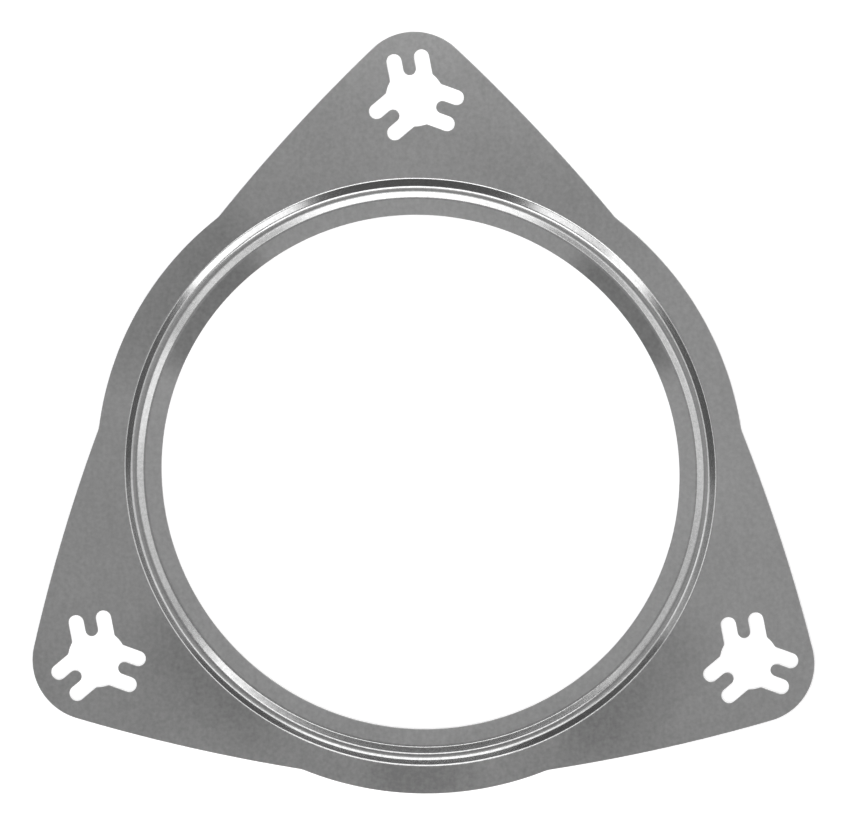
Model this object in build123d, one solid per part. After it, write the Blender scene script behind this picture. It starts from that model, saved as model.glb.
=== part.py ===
from build123d import *
from math import asin, atan2, cos, hypot, sqrt, tan
import os

# Exhaust gasket, stamped and pressed from one flat steel sheet. Millimetres throughout.
# It lies on z = 0, with the bore's centre at the origin and one lobe towards +Y.

# Sheet and gas passage
sheet_thickness = 0.5
bore_diameter = 104.0

# Sealing ring, in order from the bore outwards
inner_land = 3.3
bead_width = 4.3
outer_land = 5.5

# Pressed bead, whose roundings are shares of the sum that leaves its flanks no straight part
bead_height = 1.0
crest_share = 0.41
foot_share = 0.37

# Stud cut-outs, whose tongues grip the thread of a 10 mm stud
grip_diameter = 9.1
clearance_diameter = 11.7
slot_depth = 3.45
slot_width = 3.05
tongue_width = 2.55
mouth_rounding = 0.6
cutout_turn = 10.0
tongue_count = 3

# Lobes that carry the cut-outs
lobe_count = 3
cutout_gap = 1.3
lobe_margin = 2.8
lobe_offset = 1.1
flank_radius = 360.0
flank_foot_angle = 37.75
flank_foot_rounding = 5.0

# Radii and places that follow from the sizes above, those of the bead at mid-sheet
bead_run = bead_width / 2
rounding_limit = (bead_run**2 + bead_height**2) / (2 * bead_height)
crest_rounding = crest_share * rounding_limit
foot_rounding = foot_share * rounding_limit
bore_radius = bore_diameter / 2
bead_inner_radius = bore_radius + inner_land
bead_crest_radius = bead_inner_radius + bead_run
bead_outer_radius = bead_inner_radius + bead_width
body_radius = bead_outer_radius + outer_land
cutout_reach = clearance_diameter / 2 + slot_depth
stud_circle_radius = body_radius + cutout_gap + cutout_reach
lobe_radius = cutout_reach + lobe_margin
lobe_centre_radius = stud_circle_radius + lobe_offset
seam_radius = bead_outer_radius + outer_land / 2


def lobe_flank_start():
    """Where the long convex flank leaves the lobe's round tip, for a lobe along +X.

    The flank's arc passes through its foot on the body circle and runs tangent into the tip,
    so its centre lies where two circles about the foot and about the tip's centre cross.
    """
    foot = Vector(body_radius, 0).rotate(Axis.Z, flank_foot_angle)
    tip_centre = Vector(lobe_centre_radius, 0)
    span = foot - tip_centre
    reach = flank_radius - lobe_radius
    along = (reach**2 - flank_radius**2 + span.length**2) / (2 * span.length)
    aside = sqrt(reach**2 - along**2)
    across = span.normalized().rotate(Axis.Z, 90)
    flank_centre = tip_centre + span.normalized() * along + across * aside
    start = tip_centre + (tip_centre - flank_centre).normalized() * lobe_radius
    return start, foot


def lobe():
    """One lobe along +X: round tip, a long flank on each side, closed inside the body circle."""
    start, foot = lobe_flank_start()
    tip = Vector(lobe_centre_radius + lobe_radius, 0)
    below = Vector(start.X, -start.Y)
    foot_below = Vector(foot.X, -foot.Y)
    round_tip = ThreePointArc(below, tip, start)
    flank = RadiusArc(start, foot, -flank_radius)
    flank_below = mirror(flank, Plane.XZ)
    web = Polyline(foot, (0, 0), foot_below)
    return make_face([round_tip, flank, web, flank_below])


def plate_outline():
    """Body circle with its lobes, the shallow corners between them rounded."""
    lobes = [Rot(0, 0, 90 + 360 / lobe_count * i) * lobe() for i in range(lobe_count)]
    outline = Circle(body_radius) + lobes
    corners = outline.vertices().sort_by_distance((0, 0, 0))[: 2 * lobe_count]
    return fillet(corners, flank_foot_rounding)


def stud_cutout():
    """Clearance circle with windows, each split by a gripping tongue into two slots."""
    slot_end = cutout_reach - slot_width / 2
    slot_offset = (tongue_width + slot_width) / 2
    window = Pos(0, slot_end / 2) * Rectangle(tongue_width + 2 * slot_width, slot_end)
    window += Pos(-slot_offset, slot_end) * Circle(slot_width / 2)
    window += Pos(slot_offset, slot_end) * Circle(slot_width / 2)
    tongue_tip = grip_diameter / 2
    tongue_length = cutout_reach + tongue_width - tongue_tip
    tongue = Pos(0, tongue_tip + tongue_length / 2) * SlotOverall(
        tongue_length, tongue_width, rotation=90
    )
    turns = [Rot(0, 0, 360 / tongue_count * i) for i in range(tongue_count)]
    opening = Circle(clearance_diameter / 2)
    opening += [turn * window for turn in turns]
    opening -= [turn * tongue for turn in turns]
    mouths = []
    for turn in turns:
        land = turn * Rot(0, 0, 180 / tongue_count) * Pos(0, clearance_diameter / 2)
        mouths += opening.vertices().sort_by_distance(land.position)[:2]
    return Rot(0, 0, cutout_turn) * fillet(mouths, mouth_rounding)


def bead_corners(lift):
    """Corners of the ring's line at a height above mid-sheet, from the bore to the outer land.

    The flanks are the straight tangents between the rounding at the crest and those at the
    feet. All lines share the centres of their roundings, so the sheet keeps one thickness.
    """
    rounds = crest_rounding + foot_rounding
    drop = rounds - bead_height
    slope = asin(rounds / hypot(bead_run, drop)) - atan2(drop, bead_run)
    foot_lead = (foot_rounding - lift) * tan(slope / 2)
    apex_rise = (crest_rounding + lift) * (1 / cos(slope) - 1)
    level = sheet_thickness / 2 + lift
    return [
        (bore_radius, level),
        (bead_inner_radius + foot_lead, level),
        (bead_crest_radius, level + bead_height + apex_rise),
        (bead_outer_radius - foot_lead, level),
        (seam_radius, level),
    ]


def bead_radii(lift):
    """Rounding at each of those corners, none at the two ends."""
    foot = foot_rounding - lift
    return [0, foot, crest_rounding + lift, foot, 0]


def sealing_ring():
    """Flat lands and pressed bead, turned about the bore's axis."""
    half = sheet_thickness / 2
    corners = bead_corners(-half) + bead_corners(half)[::-1]
    radii = bead_radii(-half) + bead_radii(half)
    section = Plane.XZ * make_face(FilletPolyline(*corners, radius=radii, close=True))
    return revolve(section, Axis.Z)


def gasket():
    """The ring, the flat plate around it and the cut-outs through the plate."""
    plate = plate_outline() - Circle(seam_radius)
    for i in range(lobe_count):
        stud_place = Rot(0, 0, 90 + 360 / lobe_count * i) * Pos(stud_circle_radius, 0)
        plate -= stud_place * Rot(0, 0, -90) * stud_cutout()
    return sealing_ring() + extrude(plate, sheet_thickness)


os.makedirs("parts", exist_ok=True)
export_step(gasket(), "parts/gasket.step")
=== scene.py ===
import math

import bmesh
import bpy
from mathutils import Matrix, Vector


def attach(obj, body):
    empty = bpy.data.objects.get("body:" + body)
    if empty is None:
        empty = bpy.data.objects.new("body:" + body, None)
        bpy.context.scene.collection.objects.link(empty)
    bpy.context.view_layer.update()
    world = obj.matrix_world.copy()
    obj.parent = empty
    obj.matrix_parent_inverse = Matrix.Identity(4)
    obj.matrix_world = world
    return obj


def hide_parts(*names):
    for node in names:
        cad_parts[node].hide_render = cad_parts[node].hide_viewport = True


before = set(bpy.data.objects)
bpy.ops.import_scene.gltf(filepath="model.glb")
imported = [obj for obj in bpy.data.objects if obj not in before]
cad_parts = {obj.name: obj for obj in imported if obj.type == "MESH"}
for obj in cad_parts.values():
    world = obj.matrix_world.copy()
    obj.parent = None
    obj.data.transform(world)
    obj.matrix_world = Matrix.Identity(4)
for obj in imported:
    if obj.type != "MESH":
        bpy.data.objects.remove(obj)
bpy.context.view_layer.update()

mm = 0.001


# The gasket's sheet
# One 0.5 mm blank of stainless strip, cut and pressed in one stroke. Its underside is drawn first
# and then gets the sheet's thickness, the same all over, as the press leaves it.

sheet_thickness = 0.5 * mm
gasket = bmesh.new()


def point(place):
    """Starts a line."""
    return bmesh.ops.create_vert(gasket, co=place)["vert"][0]


def straight(start, place):
    """Carries a line straight on to a place."""
    end = bmesh.ops.extrude_vert_indiv(gasket, verts=[start])["verts"][0]
    end.co = place
    return end


def bend(start, centre, degrees, chord, axis=(0, 0, 1)):
    """Carries a line on round a centre, in equal steps no longer than the chord."""
    arc_length = math.radians(abs(degrees)) * (start.co - centre).length
    arc = bmesh.ops.spin(
        gasket, geom=[start], cent=centre, axis=axis, angle=math.radians(degrees),
        steps=math.ceil(arc_length / chord),
    )
    return arc["geom_last"][0]


# The sealing ring
# A flat land, the full bead that the flanges crush into a gas-tight line, and an outer land. The
# bead is pressed in by a ring die, so its two feet and its crest are rounded. The roundings are
# shares of the sum that would leave the bead's flanks no straight part.

bore_radius = 52.0 * mm
bead_inner_radius = 55.3 * mm
bead_outer_radius = 59.6 * mm
bead_crest_radius = (bead_inner_radius + bead_outer_radius) / 2
ring_edge_radius = 62.35 * mm
bead_height = 1.0 * mm
crest_share = 0.41
foot_share = 0.37
bead_chord = 0.06 * mm
steps_round = 480
ring_merge_gap = 0.001 * mm

half_width = bead_crest_radius - bead_inner_radius
rounding_limit = (half_width**2 + bead_height**2) / (2 * bead_height)
crest_rounding = crest_share * rounding_limit - sheet_thickness / 2
foot_rounding = foot_share * rounding_limit + sheet_thickness / 2
rounds = crest_rounding + foot_rounding
drop = rounds - bead_height
slope = math.asin(rounds / math.hypot(half_width, drop)) - math.atan2(drop, half_width)
along_ring = (0, 1, 0)
foot_centre = Vector((bead_inner_radius, 0, foot_rounding))
crest_centre = Vector((bead_crest_radius, 0, bead_height - crest_rounding))
flank_top = crest_centre + crest_rounding * Vector((-math.sin(slope), 0, math.cos(slope)))

line = straight(point((bore_radius, 0, 0)), (bead_inner_radius, 0, 0))
line = bend(line, foot_centre, -math.degrees(slope), bead_chord, along_ring)
line = straight(line, flank_top)
bend(line, crest_centre, math.degrees(slope), bead_chord, along_ring)
bmesh.ops.mirror(
    gasket, geom=gasket.verts[:] + gasket.edges[:], axis="X",
    matrix=Matrix.Translation((-bead_crest_radius, 0, 0)),
)
outer_end = max(gasket.verts, key=lambda vert: vert.co.x)
outer_end.co.x = ring_edge_radius
bmesh.ops.spin(
    gasket, geom=gasket.verts[:] + gasket.edges[:], cent=(0, 0, 0), axis=(0, 0, 1),
    angle=math.tau, steps=steps_round, use_merge=True,
)
bmesh.ops.remove_doubles(gasket, verts=gasket.verts, dist=ring_merge_gap)
seam = [e for e in gasket.edges if e.is_boundary and e.verts[0].co.xy.length > bead_outer_radius]


# The lobed plate round it
# Three lobes reach out to the flange studs. Each has a round tip and two long, slightly crowned
# flanks, which meet the round body in a small hollow corner where the blanking punch needs one.

origin = Vector((0, 0, 0))
third_turn = 120
body_radius = 65.1 * mm
lobe_radius = 12.1 * mm
lobe_centre = Vector((0, 76.8 * mm, 0))
flank_radius = 360.0 * mm
flank_foot_angle = 37.75
corner_rounding = 5.0 * mm
outline_chord = 0.8 * mm
corner_chord = 0.3 * mm


def turned(place, degrees):
    """A place turned round the bore's axis, counter-clockwise positive."""
    return Matrix.Rotation(math.radians(degrees), 3, "Z") @ Vector(place)


def turn_about(centre, start, end):
    """Degrees to turn about a centre from one point to another, counter-clockwise positive."""
    return math.degrees((end - centre).xy.angle_signed((start - centre).xy))


def crossing(centre_a, radius_a, centre_b, radius_b):
    """Where two circles cross, on the left of the way from the first centre to the second."""
    way = centre_b - centre_a
    along = (radius_a**2 - radius_b**2 + way.length_squared) / (2 * way.length)
    aside = math.sqrt(radius_a**2 - along**2)
    way.normalize()
    return centre_a + way * along + Vector((-way.y, way.x, 0)) * aside


def lines_since(old_lines):
    """The lines drawn after the old ones."""
    return [e for e in gasket.edges if e not in old_lines]


def ends_of(lines):
    """The points at the ends of lines, each once and in the same order each time."""
    return list(dict.fromkeys(v for e in lines for v in e.verts))


def add_other_half(lines):
    """Mirrors lines drawn on one side of the lobe's middle."""
    bmesh.ops.mirror(gasket, geom=lines + ends_of(lines), axis="X")


flank_foot = turned((0, body_radius, 0), flank_foot_angle)
flank_centre = crossing(lobe_centre, flank_radius - lobe_radius, flank_foot, flank_radius)
flank_start = lobe_centre + (lobe_centre - flank_centre).normalized() * lobe_radius
corner_centre = crossing(
    origin, body_radius + corner_rounding, flank_centre, flank_radius + corner_rounding
)
flank_end = flank_centre + (corner_centre - flank_centre).normalized() * flank_radius
body_start = corner_centre.normalized() * body_radius
body_end = turned((0, body_radius, 0), third_turn / 2)

ring_lines = set(gasket.edges)
tip = lobe_centre + Vector((0, lobe_radius, 0))
line = bend(point(tip), lobe_centre, turn_about(lobe_centre, tip, flank_start), outline_chord)
line = bend(line, flank_centre, turn_about(flank_centre, flank_start, flank_end), outline_chord)
line = bend(line, corner_centre, turn_about(corner_centre, flank_end, body_start), corner_chord)
bend(line, origin, turn_about(origin, body_start, body_end), outline_chord)
add_other_half(lines_since(ring_lines))


# The stud holes
# Each hole is a clearance circle with three windows, split by a tongue whose round end bites
# into the stud's thread, so that the gasket stays on the studs while the pipe is offered up.
# A hole is drawn round the origin and then moved out to its stud.

stud_circle_radius = 75.7 * mm
grip_radius = 4.55 * mm
clearance_radius = 5.85 * mm
slot_depth = 3.45 * mm
slot_width = 3.05 * mm
tongue_width = 2.55 * mm
mouth_rounding = 0.6 * mm
hole_turn = 10.0
hole_chord = 0.2 * mm
mouth_chord = 0.1 * mm

slot_end = clearance_radius + slot_depth - slot_width / 2
slot_offset = (tongue_width + slot_width) / 2
window_side = tongue_width / 2 + slot_width
mouth_x = window_side + mouth_rounding
mouth_y = math.sqrt((clearance_radius + mouth_rounding) ** 2 - mouth_x**2)
mouth_centre = Vector((mouth_x, mouth_y, 0))
mouth_start = mouth_centre.normalized() * clearance_radius
mouth_end = Vector((window_side, mouth_y, 0))
slot_centre = Vector((slot_offset, slot_end, 0))
tongue_centre = Vector((0, grip_radius + tongue_width / 2, 0))
land_middle = turned((0, clearance_radius, 0), -third_turn / 2)


def three_times(lines):
    """Repeats lines twice more round the vertical axis, a third of a turn apart."""
    bmesh.ops.spin(
        gasket, geom=lines + ends_of(lines), cent=(0, 0, 0), axis=(0, 0, 1),
        angle=math.radians(2 * third_turn), steps=2, use_duplicate=True,
    )


outline_lines = set(gasket.edges)
line = point(land_middle)
line = bend(line, origin, turn_about(origin, land_middle, mouth_start), hole_chord)
line = bend(line, mouth_centre, turn_about(mouth_centre, mouth_start, mouth_end), mouth_chord)
line = straight(line, (window_side, slot_end, 0))
line = bend(line, slot_centre, 180, hole_chord)
line = straight(line, (tongue_width / 2, tongue_centre.y, 0))
bend(line, tongue_centre, -90, hole_chord)
add_other_half(lines_since(outline_lines))
three_times(lines_since(outline_lines))
hole_points = ends_of(lines_since(outline_lines))
turn = Matrix.Rotation(math.radians(hole_turn), 3, "Z")
bmesh.ops.rotate(gasket, verts=hole_points, cent=(0, 0, 0), matrix=turn)
bmesh.ops.translate(gasket, verts=hole_points, vec=(0, stud_circle_radius, 0))


# The plate's flat face
# The sheet that is left between the ring, the outline and the holes. A narrow border of even
# faces follows every cut, so that the rims can be rounded.

line_merge_gap = 0.005 * mm
border_width = 0.2 * mm

three_times([e for e in gasket.edges if not e.link_faces])
loose_points = [v for v in gasket.verts if not v.link_faces]
bmesh.ops.remove_doubles(gasket, verts=loose_points, dist=line_merge_gap)
plate_lines = [e for e in gasket.edges if not e.link_faces]
filled = bmesh.ops.triangle_fill(
    gasket, use_beauty=True, edges=plate_lines + seam, normal=(0, 0, 1)
)
plate_faces = [part for part in filled["geom"] if isinstance(part, bmesh.types.BMFace)]
bmesh.ops.recalc_face_normals(gasket, faces=gasket.faces)
if sum(f.normal.z for f in gasket.faces) > 0:
    bmesh.ops.reverse_faces(gasket, faces=gasket.faces)
bmesh.ops.inset_region(
    gasket, faces=plate_faces, thickness=border_width, use_boundary=True, use_even_offset=True
)


# The cut edges
# The press shears the blank out of the strip. The upper part of each cut wall is rubbed bright by
# the die, the lower part tears off dull, and both rims are a little rounded.

edge_rounding = 0.05 * mm
rim_angle = math.radians(60)
crease_angle = math.radians(20)
wall_level = 0.5


def add_object(name, form):
    """Turns a finished form into an object at the origin."""
    mesh = bpy.data.meshes.new(name)
    form.to_mesh(mesh)
    form.free()
    made = bpy.data.objects.new(name, mesh)
    bpy.context.scene.collection.objects.link(made)
    return made


bmesh.ops.solidify(gasket, geom=gasket.faces[:], thickness=sheet_thickness)
rims = [e for e in gasket.edges if e.calc_face_angle(0) > rim_angle]
bmesh.ops.bevel(
    gasket, geom=rims, offset=edge_rounding, offset_type="OFFSET", segments=2, profile=0.5,
    affect="EDGES", material=-1,
)
for face in gasket.faces:
    face.smooth = True
    face.material_index = int(abs(face.normal.z) < wall_level)
for edge in gasket.edges:
    edge.smooth = edge.calc_face_angle(0) < crease_angle
exhaust_gasket = add_object("exhaust_gasket", gasket)


# The rolled face of the sheet
# Mill finish: a fine even grain with faint streaks along the strip, cloudy in tone. On it is painted
# shade, darker towards the lower edge and on the top lobe, and darker in broad stretches by the bead
# and on the inner land, and painted light on the plate to the right, in place of reflections of the
# lamps. The die has burnished the bead in fine rings, and left short marks on its outer flank where
# the metal was drawn in.


class Wire:
    """An output socket in a material. Sums written with it add the Math nodes they need."""

    def __init__(self, tree, socket=None):
        self.tree = tree
        self.socket = socket

    def node(self, kind, settings, values, output=0):
        """Adds a node: its settings first, then a value or a wire for each socket named."""
        made = self.tree.nodes.new("ShaderNode" + kind)
        for name, setting in settings.items():
            setattr(made, name, setting)
        for name, value in values.items():
            if isinstance(value, Wire):
                self.tree.links.new(value.socket, made.inputs[name])
            else:
                made.inputs[name].default_value = value
        return Wire(self.tree, made.outputs[output])

    def __getitem__(self, output):
        return Wire(self.tree, self.socket.node.outputs[output])

    def math(self, operation, first, second):
        return self.node("Math", {"operation": operation}, {0: first, 1: second})

    def __add__(self, other):
        return self.math("ADD", self, other)

    __radd__ = __add__

    def __sub__(self, other):
        return self.math("SUBTRACT", self, other)

    def __rsub__(self, other):
        return self.math("SUBTRACT", other, self)

    def __mul__(self, other):
        return self.math("MULTIPLY", self, other)

    __rmul__ = __mul__

    def __pow__(self, other):
        return self.math("POWER", self, other)

    def vector(self, operation, values, output=0):
        return self.node("VectorMath", {"operation": operation}, values, output)

    def ramp(self, low, high):
        """0 below the low value and 1 above the high one, with a smooth change between."""
        ends = {"Value": self, "From Min": low, "From Max": high}
        return self.node("MapRange", {"interpolation_type": "SMOOTHSTEP"}, ends)

    def noise(self, per_mm, detail=2.0):
        """Cloudy pattern round zero, about a fifth up and down, with that many cells a millimetre."""
        cloud = self.node("TexNoise", {}, {"Vector": self, "Scale": per_mm, "Detail": detail})
        return cloud - 0.5


def steel_finish(name):
    """A metal for the gasket. Hands back its shader and its place on the piece, in millimetres."""
    material = bpy.data.materials.new(name)
    material.use_nodes = True
    shader = material.node_tree.nodes["Principled BSDF"]
    shader.inputs["Metallic"].default_value = 1.0
    place = Wire(material.node_tree).node("TexCoord", {}, {}, "Object")
    place = place.vector("SCALE", {0: place, "Scale": 1 / mm})
    exhaust_gasket.data.materials.append(material)
    return shader, place


def connect(shader, tone, dark, bright, roughness, relief):
    """Feeds a shader its colour between two greys, its roughness and its relief in millimetres."""
    # Sockets 6 and 7 of a Mix node and its third output are its colours.
    colour = tone.node("Mix", {"data_type": "RGBA"}, {0: tone, 6: dark, 7: bright}, 2)
    bump = relief.node("Bump", {}, {"Height": relief, "Distance": mm}, "Normal")
    for socket, wire in ("Base Color", colour), ("Roughness", roughness), ("Normal", bump):
        wire.tree.links.new(wire.socket, shader.inputs[socket])


rolled_dark = (0.3, 0.3, 0.3, 1)
rolled_bright = (0.76, 0.76, 0.76, 1)
mill_roughness = 0.3
mark_depth = 0.0018
ring_depth = 0.0004
rings_per_mm = 6.0
radius_of_marks = 57.0

shader, place = steel_finish("rolled_stainless")
axes = place.node("SeparateXYZ", {}, {0: place})
x, y = axes["X"], axes["Y"]
radius = (x * x + y * y) ** 0.5
level_place = place.node("CombineXYZ", {}, {"X": x, "Y": y})
outward = place.vector("NORMALIZE", {0: level_place})


def beyond(ring_radius, inside, outside):
    """0 inside a ring of the sheet and 1 outside it, blended over those millimetres each side."""
    return radius.ramp(ring_radius / mm - inside, ring_radius / mm + outside)


def stretch(heading, edge, core):
    """1 within core degrees of a heading seen from the bore, 0 beyond edge degrees."""
    towards = (math.cos(math.radians(heading)), math.sin(math.radians(heading)), 0)
    facing = place.vector("DOT_PRODUCT", {0: outward, 1: towards}, "Value")
    return facing.ramp(math.cos(math.radians(edge)), math.cos(math.radians(core)))


# The parts of the sheet, each 1 on its own ground and 0 elsewhere.
plate = beyond(bead_outer_radius, 0.3, 0.1)
bead = beyond(bead_inner_radius, 0.1, 0.3) - plate
inner_land = 1 - beyond(bead_inner_radius, 0.3, 0.1)
crest = beyond(bead_crest_radius, 0.35, -0.05) - beyond(bead_crest_radius, -0.05, 0.35)
outer_flank = beyond(bead_crest_radius, 0.15, 0.45)
# The plate next to the bead, fading out over about 14 mm, where the painted shade goes.
by_bead = plate * (1 - beyond(bead_outer_radius, -0.4, 14.4))
# Painted shade: the sheet grows lighter from its lower edge up to the bore's middle, and darker again
# over the top lobe.
painted_light_upward = y.ramp(-90, 5)
painted_shade_top_lobe = y.ramp(10, 60)

# The painted shade and light of the sheet, its grain, and the marks of the die.
# Painted shade: two darker stretches on the inner land, between the lobes.
land_painted_shade = inner_land * (stretch(38, 19, 9) + stretch(142, 19, 9))
# Painted shade: darker stretches on the plate next to the bead.
plate_painted_shade = by_bead * (
    stretch(143, 24, 8) + stretch(225, 20, 4) + stretch(270, 13, 3) + stretch(315, 22, 4)
)
# Painted light: a lighter stretch on the plate towards the right.
plate_painted_light = plate * stretch(5, 60, 20)
grain = place.noise(1.3)
streaks = place.vector("MULTIPLY", {0: place, 1: (1.2, 0.15, 1.0)}).noise(1.0)
clouds = place.noise(0.03)
on_marked_ring = place.vector("SCALE", {0: outward, "Scale": radius_of_marks})
drawn_marks = on_marked_ring.noise(0.9, detail=1.0)
ring_height = place.node("CombineXYZ", {}, {"Z": radius * rings_per_mm})
rings = place.vector("ADD", {0: outward, 1: ring_height}).noise(1.0)

# The colour level, with painted shade darker low on the sheet and on the top lobe, and brighter on
# the inner land.
tone = 0.19 + 0.34 * painted_light_upward - 0.09 * painted_shade_top_lobe + 0.17 * inner_land
tone = tone + 0.43 * grain + 0.12 * streaks + 0.35 * clouds
# The painted shade is taken off the colour and the painted light is added.
tone = tone - 0.5 * land_painted_shade - 0.22 * plate_painted_shade + 0.15 * plate_painted_light
roughness = mill_roughness - bead * (0.1 - 0.08 * rings) + 0.12 * crest
relief = bead * (mark_depth * drawn_marks * outer_flank + ring_depth * rings)
connect(shader, tone, rolled_dark, rolled_bright, roughness, relief)


# The sheared walls
# The same steel where the punch went through. Fine lines run down each wall, and its lowest part,
# where the metal tore, is duller, darker and pitted.

sheared_dark = (0.3, 0.3, 0.3, 1)
sheared_bright = (0.72, 0.72, 0.72, 1)
sheared_roughness = 0.26
tear_low = 0.14
tear_high = 0.2
line_depth = 0.006
pit_depth = 0.012

shader, place = steel_finish("sheared_edge")
height = place.node("SeparateXYZ", {}, {0: place}, "Z")
torn = 1 - (height + 0.3 * place.noise(0.6)).ramp(tear_low, tear_high)
lines = place.vector("MULTIPLY", {0: place, 1: (1.0, 1.0, 0.1)}).noise(7.0)
pits = place.noise(14.0)
tone = 0.6 + 0.6 * lines - torn * (0.35 - pits)
roughness = sheared_roughness + 0.15 * lines + torn * (0.22 + 0.3 * pits)
relief = line_depth * lines + pit_depth * torn * pits
connect(shader, tone, sheared_dark, sheared_bright, roughness, relief)

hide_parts("gasket")
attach(exhaust_gasket, "root")


# The table under it
# A plain white top. It shines a little of its own to the lens and in reflections, so that it stays
# white there while it keeps the faint shadow of the thin sheet.

table_reach = 1.5
table_glow = 0.4

table = bmesh.new()
bmesh.ops.create_grid(table, x_segments=1, y_segments=1, size=table_reach)
table_top = add_object("table", table)
white = bpy.data.materials.new("white_table")
white.use_nodes = True
table_shader = white.node_tree.nodes["Principled BSDF"]
table_shader.inputs["Base Color"].default_value = (0.9, 0.9, 0.9, 1)
table_shader.inputs["Roughness"].default_value = 0.8
table_shader.inputs["Emission Color"].default_value = (1, 1, 1, 1)
ray = Wire(white.node_tree).node("LightPath", {}, {})
seen = ray["Is Camera Ray"] + ray["Is Glossy Ray"] + ray["Is Transmission Ray"]
glow = table_glow * seen
white.node_tree.links.new(glow.socket, table_shader.inputs["Emission Strength"])
table_top.data.materials.append(white)


# The light
# A tent of flat panels stands close round the gasket, and the bead mirrors their edges as bright
# and dark lines. The roof is dim over the middle, where the lens looks in, and the room outside
# adds a little light from all sides.

room_brightness = 0.13

bpy.context.scene.view_settings.view_transform = "Standard"
world = bpy.data.worlds.new("studio")
bpy.context.scene.world = world
world.use_nodes = True
world.node_tree.nodes["Background"].inputs["Color"].default_value = (1, 1, 1, 1)
world.node_tree.nodes["Background"].inputs["Strength"].default_value = room_brightness


def panel(name, low, high, brightness):
    """A flat lamp from one corner to the other, in millimetres, that faces into the tent."""
    low = Vector(low) * mm
    high = Vector(high) * mm
    facing = Vector([-math.copysign(1, a) if a == b else 0 for a, b in zip(low, high)])
    data = bpy.data.lights.new(name, "AREA")
    data.shape = "RECTANGLE"
    lamp = bpy.data.objects.new(name, data)
    bpy.context.scene.collection.objects.link(lamp)
    lamp.location = (low + high) / 2
    lamp.rotation_mode = "QUATERNION"
    lamp.rotation_quaternion = facing.to_track_quat("-Z", "Y")
    span = lamp.rotation_quaternion.inverted() @ (high - low)
    data.size = abs(span.x)
    data.size_y = abs(span.y)
    data.energy = brightness * math.pi * data.size * data.size_y
    lamp.visible_camera = False


left, right, front, back, roof = -181, 161, -151, 178, 225
table_gap = 1

# The roof and the back wall
roof_seam = 104
panel("roof_back", (left, roof_seam, roof), (right, back, roof), 3.0)
panel("roof_middle", (left, front, roof), (right, roof_seam, roof), 0.23)
panel("back_top", (left, back, 190), (right, back, roof), 1.65)
panel("back_left", (left, back, 40), (-104, back, 112), 2.2)
panel("back_right", (72, back, 34), (right, back, 112), 2.2)

# The left wall, with a band hung just in front of it
left_corner = 108
left_seam = -23
panel("left_corner", (left, left_corner, table_gap), (left, back, 132), 2.4)
panel("left_low", (left, left_seam, 74), (left, left_corner, 115), 0.9)
panel("left_high", (left, left_seam, 115), (left, left_corner, roof), 0.5)
panel("left_front", (left, front, 44), (left, left_seam, roof), 0.9)
panel("left_band", (left + 1, front, 90), (left + 1, -90, 135), 0.6)

# The right wall, in the same way
right_corner = 116
right_seam = -24
panel("right_corner", (right, right_corner, table_gap), (right, back, roof), 2.2)
panel("right_low", (right, right_seam, 100), (right, right_corner, 150), 1.05)
panel("right_high", (right, right_seam, 150), (right, right_corner, roof), 0.48)
panel("right_front", (right, front, 62), (right, right_seam, roof), 0.85)
panel("right_band", (right - 1, front, 110), (right - 1, -60, 170), 0.7)

# The front wall
panel("front_wall", (left, front, 110), (right, front, roof), 0.64)
panel("front_left", (left, front, 66), (-80, front, 148), 1.6)
panel("front_middle", (-80, front, 37), (32, front, 104), 2.4)
panel("front_high", (-80, front, 104), (60, front, 185), 2.2)
panel("front_right", (32, front, 75), (130, front, 130), 1.5)


# The camera
# It looks down from nearly straight above, a little towards the upper right, from far off with a
# long lens.

target = Vector((1.07, 11.83, 0)) * mm
distance = 6.0
azimuth = math.radians(56.131)
tilt = math.radians(10.702)
roll = math.radians(-0.793)

camera_data = bpy.data.cameras.new("camera")
camera_data.lens = 1272.33
camera_data.sensor_width = 36
camera_data.clip_end = 20
camera = bpy.data.objects.new("camera", camera_data)
bpy.context.scene.collection.objects.link(camera)
bpy.context.scene.camera = camera
sideways = math.sin(tilt)
to_lens = Vector((sideways * math.cos(azimuth), sideways * math.sin(azimuth), math.cos(tilt)))
upright = Vector((-math.sin(roll), math.cos(roll), 0))
picture_right = upright.cross(to_lens).normalized()
picture_up = to_lens.cross(picture_right)
picture_axes = Matrix((picture_right, picture_up, to_lens)).transposed()
camera.matrix_world = Matrix.Translation(target + to_lens * distance) @ picture_axes.to_4x4()
